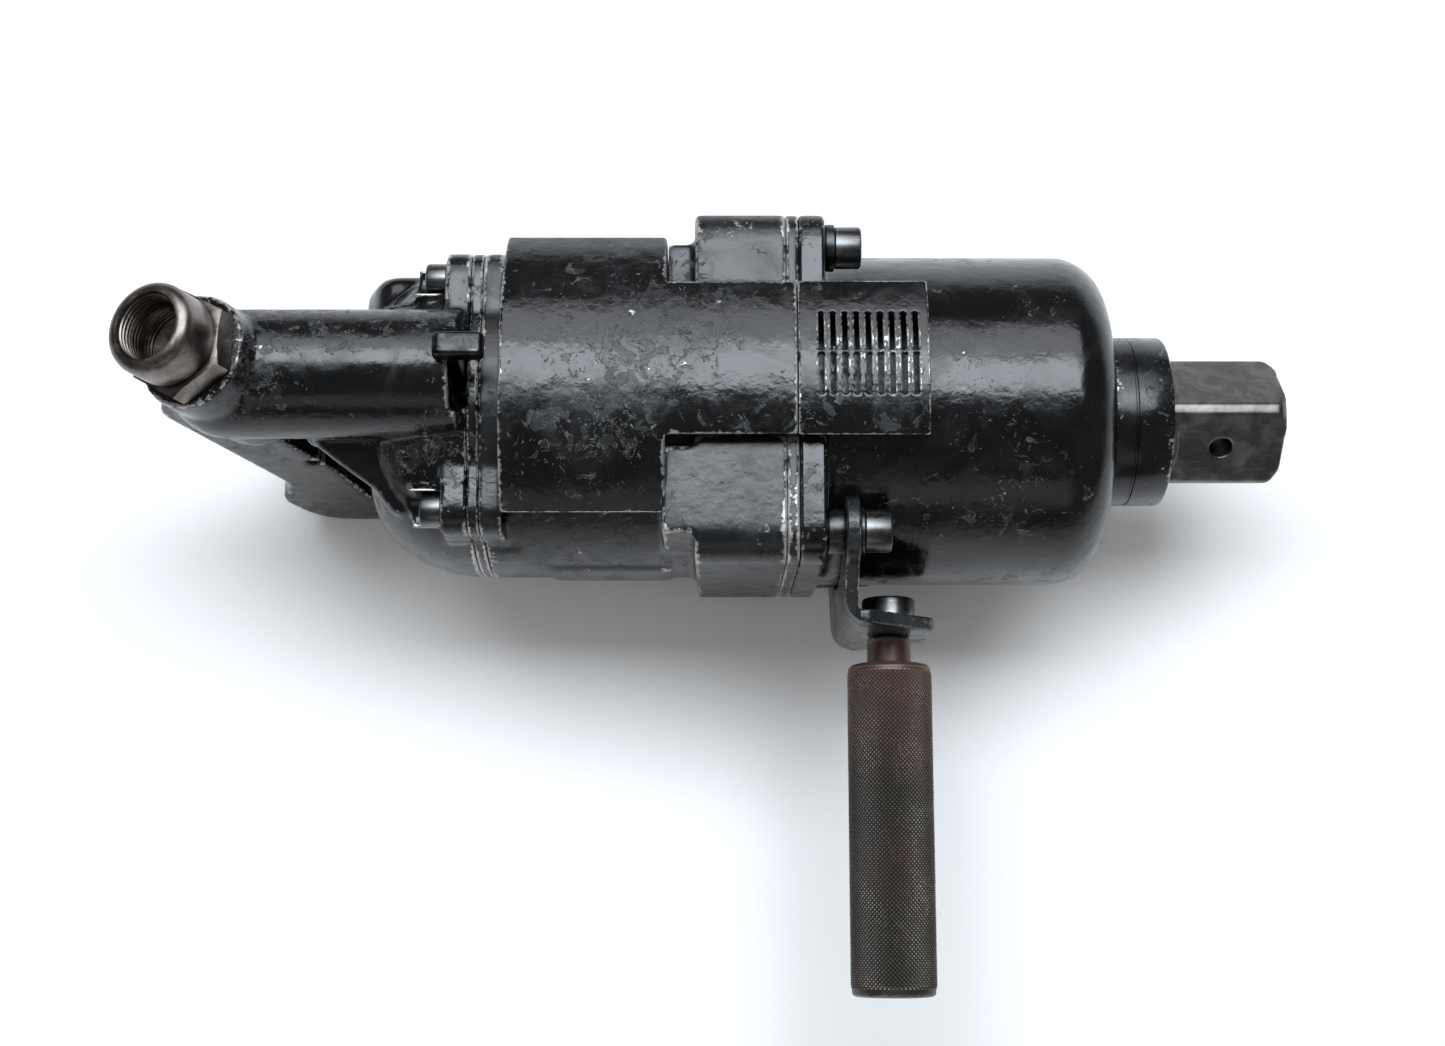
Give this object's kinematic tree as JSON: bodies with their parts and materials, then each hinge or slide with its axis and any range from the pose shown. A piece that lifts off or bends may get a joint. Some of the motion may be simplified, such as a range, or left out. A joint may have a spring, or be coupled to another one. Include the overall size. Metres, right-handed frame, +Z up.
{
  "type": "air impact wrench",
  "caption": "Heavy air impact wrench with a large square drive, D-shaped rear handle with inside trigger, top exhaust cowl and knurled side handle.",
  "frame": {"origin": "centre of the drive square's end face, on the spindle axis", "axes": "+X out of the tool along the spindle, +Z up through the exhaust cowl, the side handle points to -Y"},
  "size_m": [0.4433, 0.2946, 0.2034],
  "materials": {
    "black_enamel": "gloss black enamel, chipped and worn",
    "gloss_collar": "smooth gloss black",
    "bracket_enamel": "satin black with bright worn edges",
    "black_oxide": "satin black oxide",
    "worn_steel": "grey-brown worn hardened steel",
    "inlet_steel": "bare steel with a brown tint",
    "bright_steel": "ground steel",
    "ground_iron": "machined iron",
    "knurled_steel": "dark brown oxide, diamond knurl, worn tips",
    "seal_rubber": "matte black rubber",
    "gasket_paper": "dark fibre gasket",
    "vane_resin": "laminated phenolic"
  },
  "bodies": {
    "housing": {"hammer_case": "black_enamel", "nose_bushing": "gloss_collar", "nose_seal": "seal_rubber", "motor_housing": "black_enamel", "cylinder_liner": "ground_iron", "front_end_plate": "ground_iron", "rear_end_plate": "ground_iron", "front_bearing": "bright_steel", "rear_bearing": "bright_steel", "front_gasket": "gasket_paper", "rear_gasket": "gasket_paper", "motor_shroud": "black_enamel", "exhaust_louvre_cover": "black_enamel", "backhead_handle": "black_enamel", "inlet_bushing": "inlet_steel", "inlet_screen": "bright_steel", "trigger_pin": "bright_steel", "throttle_spring": "bright_steel", "lock_washer_upper_left": "black_oxide", "lock_washer_upper_right": "black_oxide", "lock_washer_lower_right": "black_oxide", "lock_washer_lower_left": "black_oxide", "front_screw_upper_left": "black_oxide", "front_screw_upper_right": "black_oxide", "front_screw_lower_right": "black_oxide", "front_screw_lower_left": "black_oxide", "rear_screw_upper_left": "black_oxide", "rear_screw_upper_right": "black_oxide", "rear_screw_lower_right": "black_oxide", "rear_screw_lower_left": "black_oxide", "bracket_spacer_upper_right": "black_oxide", "bracket_spacer_lower_right": "black_oxide", "side_handle_bracket": "bracket_enamel", "side_handle_grip": "knurled_steel", "side_handle_screw": "black_oxide"},
    "anvil": {"anvil": "worn_steel"},
    "rotor": {"rotor": "bright_steel", "vane_1": "vane_resin", "vane_2": "vane_resin", "vane_3": "vane_resin", "vane_4": "vane_resin", "vane_5": "vane_resin", "vane_6": "vane_resin", "hammer_frame": "ground_iron", "front_hammer": "ground_iron", "rear_hammer": "ground_iron", "hammer_pin_left": "bright_steel", "hammer_pin_right": "bright_steel"},
    "trigger": {"throttle_trigger": "black_oxide"},
    "throttle_valve": {"throttle_valve": "bright_steel"},
    "reverse": {"reverse_lever": "black_oxide", "reverse_valve": "bright_steel"}
  },
  "joints": [
    {"name": "anvil_spin", "type": "hinge", "parent": "housing", "child": "anvil", "pos_m": [-0.07, 0, 0], "axis": [1, 0, 0], "continuous": true},
    {"name": "rotor_spin", "type": "hinge", "parent": "housing", "child": "rotor", "pos_m": [-0.25, 0, 0], "axis": [1, 0, 0], "continuous": true},
    {"name": "trigger_pull", "type": "hinge", "parent": "housing", "child": "trigger", "pos_m": [-0.39, -0.00096, -0.00995], "axis": [0, -0.9954, 0.0958], "range_deg": [0, 8], "stiffness_Nm_per_rad": 1.5, "springref_deg": -8.59},
    {"name": "throttle_slide", "type": "slide", "parent": "housing", "child": "throttle_valve", "axis": [-1, 0, 0], "range_m": [0, 0.0043], "deforming": ["throttle_spring"]},
    {"name": "reverse_turn", "type": "hinge", "parent": "housing", "child": "reverse", "pos_m": [-0.322, 0.00403, 0.04181], "axis": [1, 0, 0], "range_deg": [0, 28]}
  ],
  "couplings": [
    {"joint": "throttle_slide", "follows": "trigger_pull", "m_per_rad": 0.03}
  ]
}
